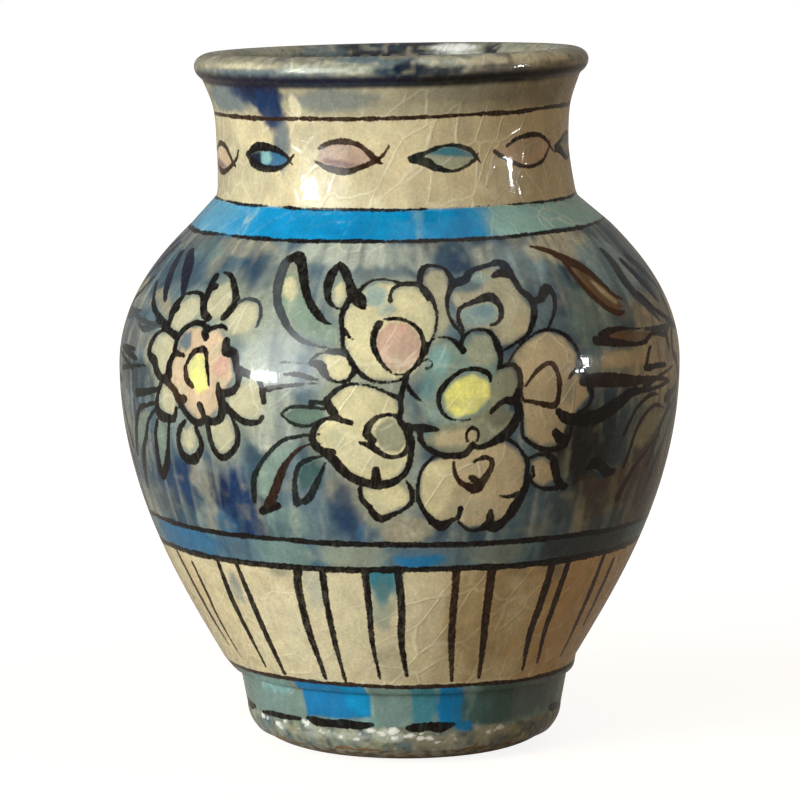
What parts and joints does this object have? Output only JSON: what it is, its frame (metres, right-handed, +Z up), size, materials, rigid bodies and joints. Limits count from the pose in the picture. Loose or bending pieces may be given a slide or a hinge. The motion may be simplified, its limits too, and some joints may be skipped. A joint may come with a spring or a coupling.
{
  "type": "crackle glaze vase",
  "caption": "Baluster vase with a turned foot, full belly, short wide neck and rolled lip, in painted crackle glaze, for holding flowers.",
  "frame": {"origin": "on the surface that the vase stands on, under the middle of the belly", "axes": "+Z up along the vase, -Y towards the viewer of the picture, +X to the viewer's right"},
  "size_m": [0.163, 0.163, 0.2034],
  "materials": {
    "clay": "bare fired earthenware",
    "slip": "fired slip",
    "outer_glaze": "glossy crackle glaze over painted slip",
    "inner_glaze": "glossy plain glaze"
  },
  "bodies": {
    "root": {"foot_ring": "clay", "foot_joint_slip": "slip", "lower_body": "clay", "belly_joint_slip": "slip", "upper_body": "clay", "neck_joint_slip": "slip", "neck_collar": "clay", "lip_joint_slip": "slip", "rim_roll": "clay", "outer_glaze": "outer_glaze", "inner_glaze": "inner_glaze"}
  },
  "joints": []
}
